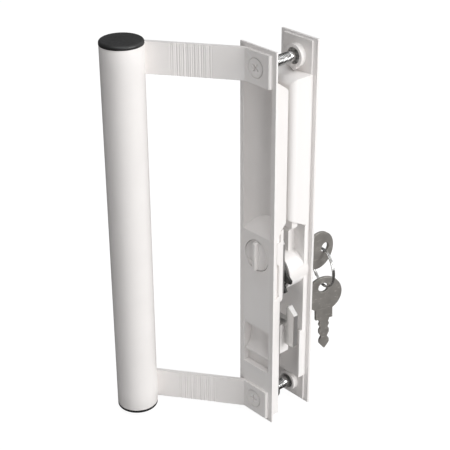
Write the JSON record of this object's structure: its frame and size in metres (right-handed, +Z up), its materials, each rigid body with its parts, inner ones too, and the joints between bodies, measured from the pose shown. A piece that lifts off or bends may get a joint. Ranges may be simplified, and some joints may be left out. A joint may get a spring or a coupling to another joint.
{
  "type": "sliding door handle and lock set",
  "caption": "Sliding patio-door handle and lock set: offset pull handle on an inside plate, outside flush-pull plate with a key cylinder, sliding hook bolt, thumb slider, turn button and keys.",
  "frame": {"origin": "inside plate's mounting face, on its centre line, midway between the two through-screws", "axes": "+Z up along the plates, +X towards the hook and the door's closing edge, +Y from the inside plate to the outside plate"},
  "size_m": [0.0704, 0.1014, 0.1878],
  "materials": {
    "white_paint": "semi-gloss white baked enamel",
    "black_plastic": "satin moulded black",
    "white_plastic": "smooth moulded white",
    "zinc_steel": "zinc-plated screw steel",
    "spring_steel": "spring steel, bright",
    "cast_cam": "black phosphated casting",
    "brass": "machined brass, slightly dull",
    "key_nickel": "worn nickel-plated brass, brushed",
    "ring_steel": "polished ring wire",
    "cylinder_nickel": "satin nickel",
    "hook_steel": "zinc-plated plate steel, sheared edges"
  },
  "bodies": {
    "frame_body": {"interior_plate": "white_paint", "exterior_plate": "white_paint", "grip_tube": "white_paint", "grip_cap_top": "black_plastic", "grip_cap_bottom": "black_plastic", "upper_arm": "white_paint", "lower_arm": "white_paint", "grip_screws": "zinc_steel", "mounting_screws": "zinc_steel", "threaded_inserts": "zinc_steel", "retainer_washer": "black_plastic", "mechanism_cover": "white_plastic", "cover_screws": "zinc_steel", "slider_guide": "hook_steel", "guide_screws": "zinc_steel", "detent_spring": "spring_steel", "cylinder_body": "cylinder_nickel", "cylinder_circlip": "spring_steel"},
    "latch": {"thumb_slider": "white_plastic", "slider_screws": "zinc_steel", "latch_carrier": "white_plastic", "hook_bolt": "hook_steel", "latch_rivets": "zinc_steel", "drive_bar": "hook_steel", "drive_pin": "zinc_steel"},
    "turn": {"turn_button": "white_plastic", "turn_spindle": "zinc_steel", "spindle_clip": "spring_steel"},
    "plug": {"cylinder_plug": "brass", "cylinder_cam": "cast_cam", "cam_clip": "brass", "wafers": "brass", "wafer_springs": "spring_steel"},
    "key": {"lock_key": "key_nickel"},
    "ring": {"key_ring": "ring_steel"},
    "spare": {"spare_key": "key_nickel"}
  },
  "joints": [
    {"name": "latch_slide", "type": "slide", "parent": "frame_body", "child": "latch", "axis": [0, 0, 1], "range_m": [0, 0.006]},
    {"name": "turn_button_turn", "type": "hinge", "parent": "frame_body", "child": "turn", "pos_m": [0, 0, -0.0062], "axis": [0, -1, 0], "range_deg": [0, 90]},
    {"name": "key_turn", "type": "hinge", "parent": "frame_body", "child": "plug", "pos_m": [0, 0.02, -0.0185], "axis": [0, -1, 0], "range_deg": [0, 54.7]},
    {"name": "key_withdraw", "type": "slide", "parent": "plug", "child": "key", "axis": [0, 1, 0], "range_m": [0, 0.02]},
    {"name": "ring_swing", "type": "hinge", "parent": "key", "child": "ring", "pos_m": [0, 0.04345, -0.0181], "axis": [1, 0, 0], "range_deg": [-8, 45]},
    {"name": "spare_swing", "type": "hinge", "parent": "ring", "child": "spare", "pos_m": [0.00002, 0.0435, -0.0404], "axis": [0.9397, -0.342, 0], "range_deg": [-8, 45]}
  ],
  "couplings": [
    {"joint": "turn_button_turn", "follows": "latch_slide", "rad_per_m": 261.8},
    {"joint": "key_turn", "follows": "latch_slide", "rad_per_m": 159.12}
  ]
}
